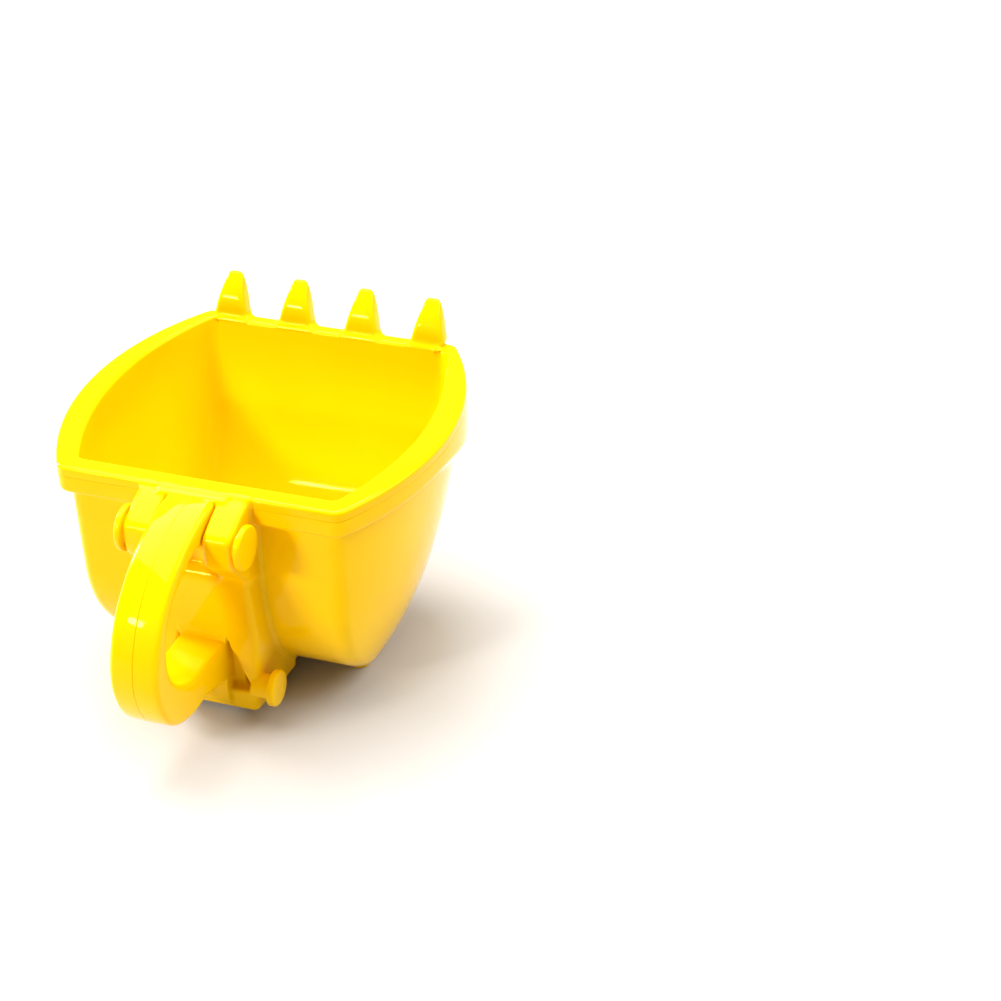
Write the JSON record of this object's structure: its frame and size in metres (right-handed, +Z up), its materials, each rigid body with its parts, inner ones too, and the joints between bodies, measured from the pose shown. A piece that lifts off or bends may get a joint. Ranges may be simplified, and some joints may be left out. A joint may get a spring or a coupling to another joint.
{
  "type": "novelty excavator-bucket drinking mug",
  "caption": "Drinking mug shaped like an excavator bucket: digger teeth on the front lip, and a D-loop handle pinned between the ears of a hitch bracket at the rear.",
  "frame": {"origin": "bottom centre of the whole mug's bounding box: on the table plane, midway between the teeth's front and the handle's crown, on the mirror plane", "axes": "+Z up; -Y towards the teeth and front lip; +Y towards the handle, the longest extent; X across the width, mirror plane at X = 0; left is +X"},
  "size_m": [0.11, 0.144, 0.0844],
  "materials": {
    "yellow_plastic": "glossy moulded plastic, saturated warm yellow, self-coloured"
  },
  "bodies": {
    "root": {"outer_shell": "yellow_plastic", "inner_liner": "yellow_plastic", "tooth_1": "yellow_plastic", "tooth_2": "yellow_plastic", "tooth_3": "yellow_plastic", "tooth_4": "yellow_plastic", "hitch_bracket": "yellow_plastic", "handle_left": "yellow_plastic", "handle_right": "yellow_plastic", "upper_pin_left": "yellow_plastic", "upper_pin_right": "yellow_plastic", "lower_pin_left": "yellow_plastic", "lower_pin_right": "yellow_plastic", "foot_front_left": "yellow_plastic", "foot_front_right": "yellow_plastic", "foot_rear_left": "yellow_plastic", "foot_rear_right": "yellow_plastic"}
  },
  "joints": []
}
